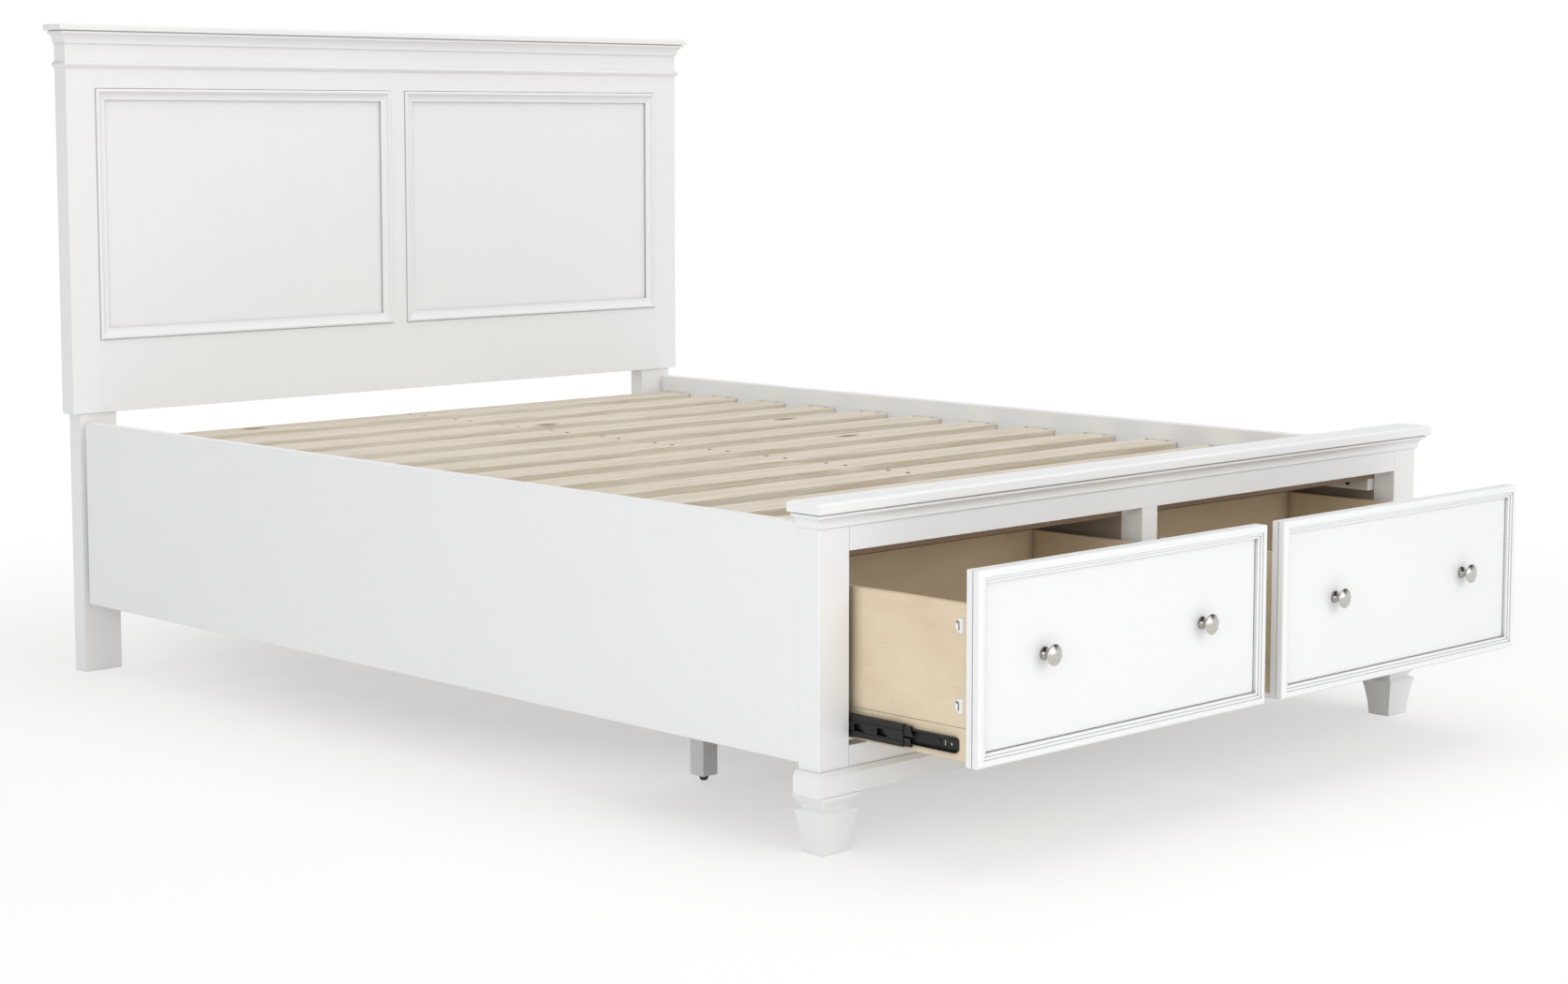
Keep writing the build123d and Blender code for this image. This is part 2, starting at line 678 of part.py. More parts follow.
def knob(x):
    """Mushroom knob turned about its own axis, standing on the drawer field."""
    flange = KNOB_PROJECTION * 0.08
    neck_top = KNOB_PROJECTION * 0.58
    rim_low = KNOB_PROJECTION * 0.73
    rim_top = KNOB_PROJECTION * 0.82
    rim_in = KNOB_HEAD * 0.95
    lines = Polyline((0, 0), (KNOB_BASE, 0), (KNOB_BASE, flange))
    lines += ThreePointArc(
        (KNOB_BASE, flange), (KNOB_NECK * 1.15, KNOB_PROJECTION * 0.25), (KNOB_NECK, KNOB_PROJECTION * 0.42))
    lines += Polyline((KNOB_NECK, KNOB_PROJECTION * 0.42), (KNOB_NECK, neck_top))
    lines += ThreePointArc(
        (KNOB_NECK, neck_top), (KNOB_HEAD * 0.72, KNOB_PROJECTION * 0.66), (rim_in, rim_low))
    lines += ThreePointArc((rim_in, rim_low), (KNOB_HEAD, (rim_low + rim_top) / 2), (rim_in, rim_top))
    lines += TangentArc((0, KNOB_PROJECTION), (rim_in, rim_top), tangent=(1, 0))
    lines += Line((0, KNOB_PROJECTION), (0, 0))
    turned = revolve(Plane.XZ * make_face(lines), Axis.Z)
    return Pos(x, drawer_face + RECESS, front_mid_z + KNOB_RISE) * Rot(90, 0, 0) * turned


def channel(wall, flange, half_height):
    """Rolled C section: web against the wall line, flanges reaching along +X from it."""
    inner = half_height - SLIDE_SHEET
    far = wall + SLIDE_SHEET + flange
    outline = [
        (wall, -half_height), (far, -half_height), (far, -inner), (wall + SLIDE_SHEET, -inner),
        (wall + SLIDE_SHEET, inner), (far, inner), (far, half_height), (wall, half_height)]
    return make_face(Polyline(*outline, close=True))


def slide_member(profile, front):
    """A slide part on the post side of the bay, starting at this distance along the bed."""
    plane = Plane((post_in, front, slide_z), x_dir=(-1, 0, 0), z_dir=(0, 1, 0))
    return extrude(plane * profile, slide_length, dir=(0, 1, 0))


def both_sides(pieces):
    """Pieces of the slide by the post, and their mirror images by the centre stile."""
    middle = Plane((front_mid_x, 0, 0), z_dir=(1, 0, 0))
    return pieces + [mirror(piece, about=middle) for piece in pieces]


def cabinet_slides():
    """Outer members screwed to the cabinet walls."""
    flange = OUTER_FLANGE - SLIDE_SHEET
    return both_sides([slide_member(channel(0, flange, OUTER_HALF), slide_front)])


def drawer_slides():
    """Inner members on the drawer sides: nosed ends, screw holes and a cam slot at the front."""
    front = slide_front - DRAWER_OPEN
    section = mirror(channel(0, INNER_FLANGE - SLIDE_SHEET, INNER_HALF), about=Plane.YZ)
    member = slide_member(Pos(SLIDE_GAP, 0, 0) * section, front)
    rear = front + slide_length
    low = slide_z - INNER_HALF
    high = slide_z + INNER_HALF
    nosed = [
        (front, low + SLIDE_NOSE), (front + SLIDE_NOSE, low), (rear, low), (rear, high),
        (front + SLIDE_NOSE, high), (front, high - SLIDE_NOSE)]
    member = member & side_view(nosed, box_x1, post_in)
    hole = Rot(0, 90, 0) * Cylinder(HOLE_RADIUS, 2 * SLIDE_GAP)
    for step in range(2):
        member -= Pos(box_x1, front + HOLE_INSET + step * HOLE_PITCH, slide_z) * hole
    slot_y = front + HOLE_INSET + HOLE_PITCH / 2
    member -= block(box_x1, post_in, slot_y - CAM_SLOT_WIDTH / 2, slot_y + CAM_SLOT_WIDTH / 2,
                    slide_z - CAM_SLOT_HEIGHT / 2, slide_z + CAM_SLOT_HEIGHT / 2)
    return both_sides([member])


def runner_web(member, front, web_face):
    """The middle member with its stepped windows, pilot holes and the two creases along its web."""
    low = slide_z - CREASE_RISE
    tail_top = low + WINDOW_TOP
    high = slide_z + WINDOW_TOP
    behind = web_face - 2 * SLIDE_SHEET
    pilot = Rot(0, 90, 0) * Cylinder(HOLE_RADIUS / 2, 4 * SLIDE_SHEET)
    for step in range(WINDOW_COUNT):
        y = front + WINDOW_FIRST + step * WINDOW_PITCH
        window = [
            (y - WINDOW_TAIL, low), (y + WINDOW_LENGTH, low), (y + WINDOW_LENGTH, high),
            (y, high), (y, tail_top), (y - WINDOW_TAIL, tail_top)]
        member -= side_view(window, behind, post_in)
        member -= Pos(web_face, y + WINDOW_PITCH / 2, slide_z) * pilot
    crease = block(web_face - CREASE_DEPTH, post_in, front, front + slide_length,
                   low - CREASE_WIDTH, low)
    return member - crease - mirror(crease, about=Plane((0, 0, slide_z), z_dir=(0, 0, 1)))


def ball_retainer(front, x1):
    """Thin forked sheet that joins the front ends of the two inner ball cages."""
    edge = INNER_HALF + RUNNING_GAP
    ahead = front - CAGE_LEAD
    back = front + WINDOW_FIRST - 2 * WINDOW_TAIL
    notch = slide_z - RETAINER_NOTCH
    outline = [
        (back, slide_z - edge), (ahead, slide_z - edge), (ahead, notch), (front, notch), (front, slide_z),
        (ahead - RETAINER_TONGUE, slide_z), (ahead, slide_z + edge), (back, slide_z + edge)]
    return side_view(outline, x1 - RETAINER_SHEET, x1)


def runner_members():
    """Middle members with punched webs, and the ball cages that ride on them."""
    front = slide_front - MIDDLE_SHARE * DRAWER_OPEN
    web = SLIDE_SHEET + MIDDLE_WEB_GAP
    flange = MIDDLE_FLANGE - SLIDE_SHEET
    member = slide_member(channel(web, flange, MIDDLE_HALF), front)
    member = runner_web(member, front, post_in - web)
    cage_x1 = post_in - web - SLIDE_SHEET - RUNNING_GAP
    cage_x0 = cage_x1 - CAGE_WIDTH
    rear = front + slide_length - CAGE_INSET
    ahead = front - CAGE_LEAD
    outer_low = slide_z + MIDDLE_HALF
    outer_high = slide_z + OUTER_HALF - SLIDE_SHEET - RUNNING_GAP
    inner_low = slide_z + INNER_HALF + RUNNING_GAP
    inner_high = slide_z + MIDDLE_HALF - SLIDE_SHEET
    upper = [
        block(cage_x0, cage_x1, rear - CAGE_LENGTH, rear, outer_low, outer_high),
        block(cage_x0, cage_x1, ahead, ahead + CAGE_LENGTH, inner_low, inner_high)]
    level = Plane((0, 0, slide_z), z_dir=(0, 0, 1))
    cages = upper + [mirror(cage, about=level) for cage in upper]
    return both_sides([member, ball_retainer(front, cage_x1)] + cages)


# Every node by name

post = eased(block(post_in, half, face, post_back, FOOT_HEIGHT, cap_under))
side_rail = eased(block(rail_in, half, post_back, rail_end, RAIL_BOTTOM, RAIL_BOTTOM + RAIL_HEIGHT))
side_board = block(post_in, post_in + CABINET_WALL, post_back, cabinet_back, RAIL_BOTTOM, cabinet_top)
brackets = [rail_bracket(post_back, 1), rail_bracket(leg_front, -1)]
cabinet_rear = cabinet_back + CABINET_BACK
cabinet_half = post_in + CABINET_WALL
beam_low = deck - BEAM_HEIGHT
rear_leg_x = half - REAR_LEG_INSET
rear_leg_y = cabinet_back + CABINET_BACK / 2
rear_leg = support_leg(REAR_LEG, rear_leg_x, rear_leg_y, RAIL_BOTTOM)
centre_near, centre_far = centre_leg_places()

nodes = {
    "headboard_stile_left": [flipped(headboard_stile())],
    "headboard_stile_right": [headboard_stile()],
    "headboard_top_rail": [block(-panel_out, panel_out, head, head + FRAME_THICK, panel_top, crown_under)],
    "headboard_bottom_rail": [
        block(-panel_out, panel_out, head, head + FRAME_THICK, HEADBOARD_BOTTOM, panel_bottom)],
    "headboard_mullion": [block(-panel_in, panel_in, head, head + FRAME_THICK, panel_bottom, panel_top)],
    "headboard_panels": headboard_panels(),
    "headboard_panel_mouldings": headboard_panel_mouldings(),
    "headboard_crown_cap": [headboard_crown()],
    "headboard_crown_moulding": headboard_crown_moulding(),
    "headboard_bead": headboard_bead(),
    "headboard_back_panel": [headboard_back_panel()],
    "headboard_leg_left": [flipped(headboard_leg())],
    "headboard_leg_right": [headboard_leg()],
    "frame_bolts": frame_bolts(),
    "footboard_post_left": [flipped(post)],
    "footboard_post_right": [post],
    "footboard_top_rail": [block(-post_in, post_in, face, face + FACE_RAIL_DEPTH, opening_top, cap_under)],
    "footboard_bottom_rail": [
        block(-post_in, post_in, face, face + FACE_RAIL_DEPTH, FOOT_HEIGHT, OPENING_BOTTOM)],
    "footboard_centre_stile": [block(-stile_half, stile_half, face, post_back, OPENING_BOTTOM, opening_top)],
    "footboard_cap": [footboard_cap()],
    "footboard_bed_moulding": footboard_bed_moulding(),
    "footboard_base_moulding": footboard_base_moulding(),
    "footboard_foot_left": [flipped(footboard_foot())],
    "footboard_foot_right": [footboard_foot()],
    "cabinet_side_left": [flipped(side_board)],
    "cabinet_side_right": [side_board],
    "cabinet_partition": partition(),
    "cabinet_back_board": [
        block(-cabinet_half, cabinet_half, cabinet_back, cabinet_rear, RAIL_BOTTOM, cabinet_top)],
    "cabinet_dust_panel": [block(-cabinet_half, cabinet_half, post_back, cabinet_rear, cabinet_top, deck)],
    "rear_legs": [rear_leg, flipped(rear_leg)],
    "rear_glide_left": [glide(-rear_leg_x, rear_leg_y)],
    "rear_glide_right": [glide(rear_leg_x, rear_leg_y)],
    "side_rail_left": [flipped(side_rail)],
    "side_rail_right": [side_rail],
    "slat_cleats": slat_cleats(),
    "rail_brackets": brackets + [flipped(bracket) for bracket in brackets],
    "slats": slats(),
    "centre_beam": [
        block(-BEAM_WIDTH / 2, BEAM_WIDTH / 2, cabinet_rear, head - BEAM_END_GAP, beam_low, deck)],
    "beam_hanger": [beam_hanger()],
    "centre_legs": [support_leg(CENTRE_LEG, 0, y, beam_low) for y in centre_leg_places()],
    "centre_glide_near": [glide(0, centre_near)],
    "centre_glide_far": [glide(0, centre_far)],
}

right_bay = {
    "cabinet_slides": cabinet_slides(),
    "runner_members": runner_members(),
    "drawer_front_plate": [drawer_front_plate()],
    "drawer_front_moulding": drawer_front_moulding(),
    "drawer_box": drawer_box(),
    "drawer_bottom": [drawer_bottom()],
    "drawer_knobs": [knob(front_mid_x - KNOB_SPREAD / 2), knob(front_mid_x + KNOB_SPREAD / 2)],
    "drawer_clips": drawer_clips(),
    "drawer_slides": drawer_slides(),
}
for name, pieces in right_bay.items():
    nodes["right_" + name] = pieces
    nodes["left_" + name] = [flipped(piece) for piece in pieces]

os.makedirs("parts", exist_ok=True)
for name, pieces in nodes.items():
    solids = [solid for piece in pieces for solid in piece.solids()]
    export_step(solids[0] if len(solids) == 1 else Compound(children=solids), "parts/" + name + ".step")
print(len(nodes), "nodes, overall length at rest", length)
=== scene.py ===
# %% [markdown]
# # A white storage bed
# The bed comes in as a finished CAD model: posts, rails, drawers and slides, each a separate node.
# Nothing on it is moved here. This lesson gives every node a surface that looks like the real
# material, adds the small hardware that a CAD model leaves out, and sets up the studio.

# %% Load the CAD model
import bpy
import bmesh
import math
from mathutils import Matrix, Vector


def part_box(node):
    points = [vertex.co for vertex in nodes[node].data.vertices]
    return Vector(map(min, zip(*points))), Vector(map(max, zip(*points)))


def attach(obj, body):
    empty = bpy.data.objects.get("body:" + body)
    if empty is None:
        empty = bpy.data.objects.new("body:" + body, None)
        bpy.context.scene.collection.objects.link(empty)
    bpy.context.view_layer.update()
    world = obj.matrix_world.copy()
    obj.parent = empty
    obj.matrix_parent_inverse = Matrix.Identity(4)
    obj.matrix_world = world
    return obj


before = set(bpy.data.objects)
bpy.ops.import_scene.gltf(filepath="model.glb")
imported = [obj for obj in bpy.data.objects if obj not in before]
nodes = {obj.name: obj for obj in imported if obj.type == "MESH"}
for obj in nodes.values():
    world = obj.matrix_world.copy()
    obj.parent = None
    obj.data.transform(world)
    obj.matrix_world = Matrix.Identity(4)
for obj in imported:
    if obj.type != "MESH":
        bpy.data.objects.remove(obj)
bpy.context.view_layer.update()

# %% [markdown]
# ## The camera
# The camera stands to the left of the footboard, at about chest height, and looks down a little.
# Looking down further would make the uprights lean more, so a small downward shift of the frame brings
# in the rest of the floor, as a product photographer would do it with a view camera. The focal length
# is known in pixels of a picture of known width, and a usual sensor width turns it into a lens.

# %% Place the camera
camera_place = (-3.9283, -4.0749, 1.1352)
look_down, turn_right = 5.73, 44.27
focal_pixels, picture_pixels, sensor_wide = 3103.18, 1673, 36
bpy.ops.object.select_all(action="DESELECT")
bpy.ops.object.camera_add(
    location=camera_place,
    rotation=(math.radians(90 - look_down), 0, math.radians(-turn_right)))
camera = bpy.context.object
camera.data.sensor_width = sensor_wide
camera.data.lens = focal_pixels / picture_pixels * sensor_wide
camera.data.shift_y = -0.05
bpy.context.scene.camera = camera
print("lens", round(camera.data.lens, 1))

# %% [markdown]
# ## The studio floor
# A pale floor runs out to the horizon, so that no edge of it shows. In a studio it is lit until only
# the shadow under the bed is left. More lamps could do that here too, but they would flatten the light
# on the bed. So there are two floors in one finish. The light that falls on the bed comes back from a
# plain matt white. Rays straight from the camera, or by way of a shiny surface, see a darker floor that
# takes the shadow and has a glow of its own: less of it in an oval right under the bed, a painted shadow
# that stands in for the shade of bedding, and pure white further away.

# %% Lay the floor
floor_wide, floor_drop = 120, 0.0005
bpy.ops.object.select_all(action="DESELECT")
bpy.ops.mesh.primitive_plane_add(size=floor_wide, location=(0, 0, -floor_drop))
floor = bpy.context.object
floor.name = "studio_floor"
print("floor", floor.dimensions[:])

# %% The floor's own glow
def link(tree, source, target):
    tree.links.new(source, target)


def own_place(tree):
    """Where a point lies, in the object's own metres."""
    return tree.nodes.new("ShaderNodeTexCoord").outputs["Object"]


def mapped(tree, vector, scale, location=(0, 0, 0)):
    """A vector that is scaled and then moved."""
    made = tree.nodes.new("ShaderNodeMapping")
    made.inputs["Scale"].default_value = scale
    made.inputs["Location"].default_value = location
    link(tree, vector, made.inputs["Vector"])
    return made.outputs[0]


def length_of(tree, vector):
    made = tree.nodes.new("ShaderNodeVectorMath")
    made.operation = "LENGTH"
    link(tree, vector, made.inputs[0])
    return made.outputs["Value"]


def eased(tree, value, span, results=(0, 1)):
    """A smooth step from one result to another while a value crosses a span."""
    made = tree.nodes.new("ShaderNodeMapRange")
    made.interpolation_type = "SMOOTHSTEP"
    made.inputs["From Min"].default_value, made.inputs["From Max"].default_value = span
    made.inputs["To Min"].default_value, made.inputs["To Max"].default_value = results
    link(tree, value, made.inputs["Value"])
    return made.outputs[0]


floor_paint = bpy.data.materials.new("studio_floor_white")
floor_paint.use_nodes = True
tree = floor_paint.node_tree
tree.nodes.clear()
glow = tree.nodes.new("ShaderNodeEmission")
# A dimmer glow in an oval under the bed paints a shadow onto the floor.
painted_shadow_oval = length_of(tree, mapped(tree, own_place(tree), scale=(1.18, 0.80, 0), location=(0, -0.36, 0)))
link(tree, eased(tree, painted_shadow_oval, span=(0.60, 1.10), results=(0.40, 0.56)), glow.inputs["Strength"])
far_away = eased(tree, length_of(tree, own_place(tree)), span=(1.3, 3.2))
print("floor glow of", len(tree.nodes), "nodes")

# %% What lights the bed and what is seen
def calculated(tree, operation, first, second=0.0):
    """A sum on a socket and either a second socket or a plain number."""
    made = tree.nodes.new("ShaderNodeMath")
    made.operation = operation
    link(tree, first, made.inputs[0])
    if isinstance(second, float):
        made.inputs[1].default_value = second
    else:
        link(tree, second, made.inputs[1])
    return made.outputs[0]


def only_seen(tree):
    """A factor that is one for rays from the camera, from shiny surfaces and through glass."""
    path = tree.nodes.new("ShaderNodeLightPath")
    shiny = calculated(tree, "MAXIMUM", path.outputs["Is Camera Ray"], path.outputs["Is Glossy Ray"])
    return calculated(tree, "MAXIMUM", shiny, path.outputs["Is Transmission Ray"])


def matt(tree, grey):
    made = tree.nodes.new("ShaderNodeBsdfDiffuse")
    made.inputs["Color"].default_value = (grey, grey, grey, 1)
    return made.outputs[0]


def mixed(tree, factor, first, second):
    """The first of two shaders where a factor is zero, the second where it is one."""
    made = tree.nodes.new("ShaderNodeMixShader")
    link(tree, factor, made.inputs["Fac"])
    link(tree, first, made.inputs[1])
    link(tree, second, made.inputs[2])
    return made.outputs[0]


lighting_grey, shadow_grey = 0.86, 0.39
shadowed = tree.nodes.new("ShaderNodeAddShader")
link(tree, matt(tree, shadow_grey), shadowed.inputs[0])
link(tree, glow.outputs[0], shadowed.inputs[1])
white = tree.nodes.new("ShaderNodeEmission")
seen = mixed(tree, far_away, shadowed.outputs[0], white.outputs[0])
out = tree.nodes.new("ShaderNodeOutputMaterial")
link(tree, mixed(tree, only_seen(tree), matt(tree, lighting_grey), seen), out.inputs["Surface"])
floor.data.materials.append(floor_paint)
print("floor finish of", len(tree.nodes), "nodes")

# %% [markdown]
# ## The sky
# Behind the floor the camera sees plain white. If that white also lit the bed, all its sides would be
# equally bright, so the sky that gives light is dimmer. Shiny surfaces see the white only low down:
# higher up their sky turns dark, like a studio ceiling, which gives the knobs and the slides contrast.

# %% Sky
colour_a, colour_b, colour_out = 6, 7, 2
plain_white = (1.0, 1.0, 1.0)


def one_axis(tree, vector, axis):
    """One coordinate of a vector."""
    split = tree.nodes.new("ShaderNodeSeparateXYZ")
    link(tree, vector, split.inputs[0])
    return split.outputs["xyz".index(axis)]


def ramp(tree, factor, stops):
    """A colour ramp through (place, colour) stops."""
    made = tree.nodes.new("ShaderNodeValToRGB")
    band = made.color_ramp.elements
    while len(band) < len(stops):
        band.new(0.5)
    for element, (place, colour) in zip(band, stops):
        element.position = place
        element.color = (*colour, 1)
    link(tree, factor, made.inputs["Fac"])
    return made.outputs["Color"]


sky = bpy.data.worlds.new("studio_sky")
bpy.context.scene.world = sky
sky.use_nodes = True
tree = sky.node_tree
tree.nodes.clear()
lit = tree.nodes.new("ShaderNodeBackground")
lit.inputs["Strength"].default_value = 0.72
lit.inputs["Color"].default_value = (*plain_white, 1)
seen = tree.nodes.new("ShaderNodeBackground")
upwards = one_axis(tree, tree.nodes.new("ShaderNodeTexCoord").outputs["Generated"], "z")
ceiling = ramp(tree, upwards, [(0.18, plain_white), (0.42, (0.05, 0.05, 0.05))])
mirrored = tree.nodes.new("ShaderNodeMix")
mirrored.data_type = "RGBA"
mirrored.inputs[colour_a].default_value = (*plain_white, 1)
link(tree, tree.nodes.new("ShaderNodeLightPath").outputs["Is Glossy Ray"], mirrored.inputs[0])
link(tree, ceiling, mirrored.inputs[colour_b])
link(tree, mirrored.outputs[colour_out], seen.inputs["Color"])
out = tree.nodes.new("ShaderNodeOutputWorld")
link(tree, mixed(tree, only_seen(tree), lit.outputs[0], seen.outputs[0]), out.inputs["Surface"])
bpy.context.scene.view_settings.view_transform = "Standard"
print("sky of", len(tree.nodes), "nodes")

# %% [markdown]
# ## The lamps
# Furniture is photographed under large soft boxes, because a small lamp throws hard shadows and burns
# a spot into satin paint. Three square area lamps do that here: one before the footboard, one at its
# left and one above. The one above is kept out of reflections, so that it makes no bright patch on
# shiny pieces.

# %% Lamps
def soft_lamp(name, place, target, size, watts, mirrored=True):
    """A square soft box at one place, facing another. Shiny surfaces show it only where asked."""
    bpy.ops.object.light_add(type="AREA", location=place)
    lamp = bpy.context.object
    lamp.name = name
    lamp.data.shape = "SQUARE"
    lamp.data.size = size
    lamp.data.energy = watts
    lamp.visible_glossy = mirrored
    lamp.rotation_euler = (Vector(target) - Vector(place)).to_track_quat("-Z", "Y").to_euler()
    return lamp


soft_lamp("key_lamp", place=(0.4, -5.2, 2.1), target=(0, -0.4, 0.5), size=3.2, watts=53)
soft_lamp("side_lamp", place=(-4.4, -3.2, 1.6), target=(-0.6, -0.8, 0.4), size=3.0, watts=56)
soft_lamp("top_lamp", place=(0.4, -0.4, 4.6), target=(0, -0.4, 0), size=4.0, watts=64, mirrored=False)

# %% [markdown]
# ## Satin white paint
# Most of the bed is wood and fibreboard under sprayed satin paint. The paint is not one flat white:
# the grain shows through faintly along each board, the spray leaves a fine stipple, and the gloss
# wanders a little. All of that could be drawn as a picture, but noise in the object's own metres needs
# no unwrapping and has the same size on every board. A Bevel node rounds the light over sharp
# arrises, as paint does. Deep in a quirk, where little light comes back, shade is painted into the
# colour.

# %% Noise, bumps and soft edges
even = (1, 1, 1)


def noise(tree, stretch, scale, detail=4.0, roughness=0.55):
    """Noise in the object's own metres, stretched along an axis."""
    texture = tree.nodes.new("ShaderNodeTexNoise")
    texture.inputs["Scale"].default_value = scale
    texture.inputs["Detail"].default_value = detail
    texture.inputs["Roughness"].default_value = roughness
    link(tree, mapped(tree, own_place(tree), stretch), texture.inputs["Vector"])
    return texture.outputs["Fac"]


def spread(tree, factor, low, high):
    """A factor moved from 0..1 to another range."""
    made = tree.nodes.new("ShaderNodeMapRange")
    made.inputs["To Min"].default_value = low
    made.inputs["To Max"].default_value = high
    link(tree, factor, made.inputs["Value"])
    return made.outputs[0]


def bumped(tree, height, strength, distance, under=None):
    """A bump on top of another normal."""
    made = tree.nodes.new("ShaderNodeBump")
    made.inputs["Strength"].default_value = strength
    made.inputs["Distance"].default_value = distance
    link(tree, height, made.inputs["Height"])
    if under is not None:
        link(tree, under, made.inputs["Normal"])
    return made.outputs["Normal"]


def eased_edges(tree, radius):
    """Rounded light over sharp edges."""
    made = tree.nodes.new("ShaderNodeBevel")
    made.samples = 4
    made.inputs["Radius"].default_value = radius
    return made.outputs["Normal"]


print("helpers", [helper.__name__ for helper in (noise, spread, bumped, eased_edges)])

# %% Colours that multiply
def multiplied(tree, colour, factor):
    """A colour darkened by a factor."""
    made = tree.nodes.new("ShaderNodeMix")
    made.data_type = "RGBA"
    made.blend_type = "MULTIPLY"
    made.inputs[0].default_value = 1.0
    link(tree, colour, made.inputs[colour_a])
    link(tree, factor, made.inputs[colour_b])
    return made.outputs[colour_out]


def painted_hollow_shade(tree, reach, shades):
    """A painted shade: a grey that dims the colour where little is open within a reach, from (open share,
    grey) pairs.
    """
    made = tree.nodes.new("ShaderNodeAmbientOcclusion")
    made.samples = 6
    made.inputs["Distance"].default_value = reach
    stops = [(open_share, (grey, grey, grey)) for open_share, grey in shades]
    return ramp(tree, made.outputs["AO"], stops)


# Greys of the painted shade, by open share, for shallow quirks and for deep hollows.
soft_shades = [(0.15, 0.80), (0.50, 0.97), (0.80, 1.0)]
deep_shades = [(0.48, 0.55), (0.62, 0.76), (0.76, 0.95), (0.88, 1.0)]
print("shades from", soft_shades[0], "and", deep_shades[0])

# %% [markdown]
# ### Which way the grain runs
# A board's grain follows its length, so the paint is made once for each axis. The deep moulding round
# the drawer fronts and the cleats in their corners get paint of their own, with a longer reach for the
# painted shade, because their hollows are deeper than the quirks of the other mouldings.

# %% Mix the paint
def new_finish(name):
    """An empty finish with its shader."""
    made = bpy.data.materials.new(name)
    made.use_nodes = True
    return made, made.node_tree, made.node_tree.nodes["Principled BSDF"]


def along_axis(axis, slow):
    """A stretch that makes a pattern run along an axis."""
    return tuple(slow if name == axis else 1.0 for name in "xyz")


def satin_paint(name, axis, reach, shades):
    """Sprayed paint with faint grain along an axis, and shade painted darker into quirks within a reach.
    """
    made, tree, shader = new_finish("satin_white_paint_" + name)
    grain = noise(tree, along_axis(axis, 0.04), scale=240, detail=5)
    cloud = noise(tree, even, scale=2.4, detail=3)
    stipple = noise(tree, even, scale=1500, detail=2)
    tone = ramp(tree, grain, [(0.30, (0.836, 0.838, 0.841)), (0.62, (0.845, 0.847, 0.849))])
    drift = ramp(tree, cloud, [(0.35, (0.985, 0.985, 0.990)), (0.65, plain_white)])
    colour = multiplied(tree, multiplied(tree, tone, drift), painted_hollow_shade(tree, reach, shades))
    link(tree, colour, shader.inputs["Base Color"])
    link(tree, spread(tree, cloud, low=0.34, high=0.46), shader.inputs["Roughness"])
    normal = bumped(tree, grain, strength=0.015, distance=0.0006, under=eased_edges(tree, 0.0008))
    normal = bumped(tree, stipple, strength=0.05, distance=0.0002, under=normal)
    link(tree, normal, shader.inputs["Normal"])
    return made


paint = {axis: satin_paint(axis, axis, reach=0.007, shades=soft_shades) for axis in "xyz"}
moulding_paint = satin_paint("moulding", "x", reach=0.014, shades=deep_shades)
cleat_paint = satin_paint("cleat", "y", reach=0.030, shades=deep_shades)
print("paints", [made.name for made in (*paint.values(), moulding_paint, cleat_paint)])

# %% Paint the boards
across = """headboard_top_rail headboard_bottom_rail headboard_crown_cap headboard_crown_moulding
    headboard_bead footboard_top_rail footboard_bottom_rail footboard_cap footboard_bed_moulding
    footboard_base_moulding left_drawer_front_plate right_drawer_front_plate""".split()
lengthwise = ["side_rail_left", "side_rail_right"]
upright = """headboard_stile_left headboard_stile_right headboard_mullion headboard_panels
    headboard_panel_mouldings headboard_back_panel headboard_leg_left headboard_leg_right
    footboard_post_left footboard_post_right footboard_centre_stile footboard_foot_left
    footboard_foot_right rear_legs""".split()


def coat(names, material):
    """One material on CAD nodes."""
    for name in names:
        nodes[name].data.materials.clear()
        nodes[name].data.materials.append(material)
    print(material.name, "on", len(names), "nodes")


coat(across, paint["x"])
coat(lengthwise, paint["y"])
coat(upright, paint["z"])
coat(["left_drawer_front_moulding", "right_drawer_front_moulding"], moulding_paint)
coat(["slat_cleats"], cleat_paint)

# %% [markdown]
# ## Birch plywood
# The drawer boxes are clear-coated birch plywood: pale and mottled, with soft grain and short darker
# flecks along each board. A drawer side runs front to back and a drawer back runs across, but both are
# in one node. It could be split, but it is simpler to make two grain figures and to let the way a face
# looks pick one. In the same way the cut edges get the plies, which show as fine stripes.

# %% Faces and ply edges
number_a, number_out = 2, 0


def chosen(tree, factor, first, second, kind="FLOAT"):
    """The first of two values or colours where a factor is zero, the second where it is one."""
    made = tree.nodes.new("ShaderNodeMix")
    made.data_type = kind
    start, result = (number_a, number_out) if kind == "FLOAT" else (colour_a, colour_out)
    link(tree, factor, made.inputs[0])
    link(tree, first, made.inputs[start])
    link(tree, second, made.inputs[start + 1])
    return made.outputs[result]


def looking(tree, axis):
    """One on faces that look along an axis, zero on faces that lie along it."""
    normal = tree.nodes.new("ShaderNodeTexCoord").outputs["Normal"]
    return calculated(tree, "ABSOLUTE", one_axis(tree, normal, axis))


def ply_edges(tree, axis, plies_per_metre):
    """Stripes of light and dark plies stacked along an axis."""
    turns = calculated(tree, "MULTIPLY", one_axis(tree, own_place(tree), axis),
                       plies_per_metre * 2 * math.pi)
    stripes = spread(tree, calculated(tree, "SINE", turns), low=0.5, high=1.0)
    return ramp(tree, stripes, [(0.45, (0.47, 0.35, 0.22)), (0.55, (0.70, 0.58, 0.41))])


box_plies, bottom_plies = 650, 800
print("plies per metre", box_plies, "and", bottom_plies)

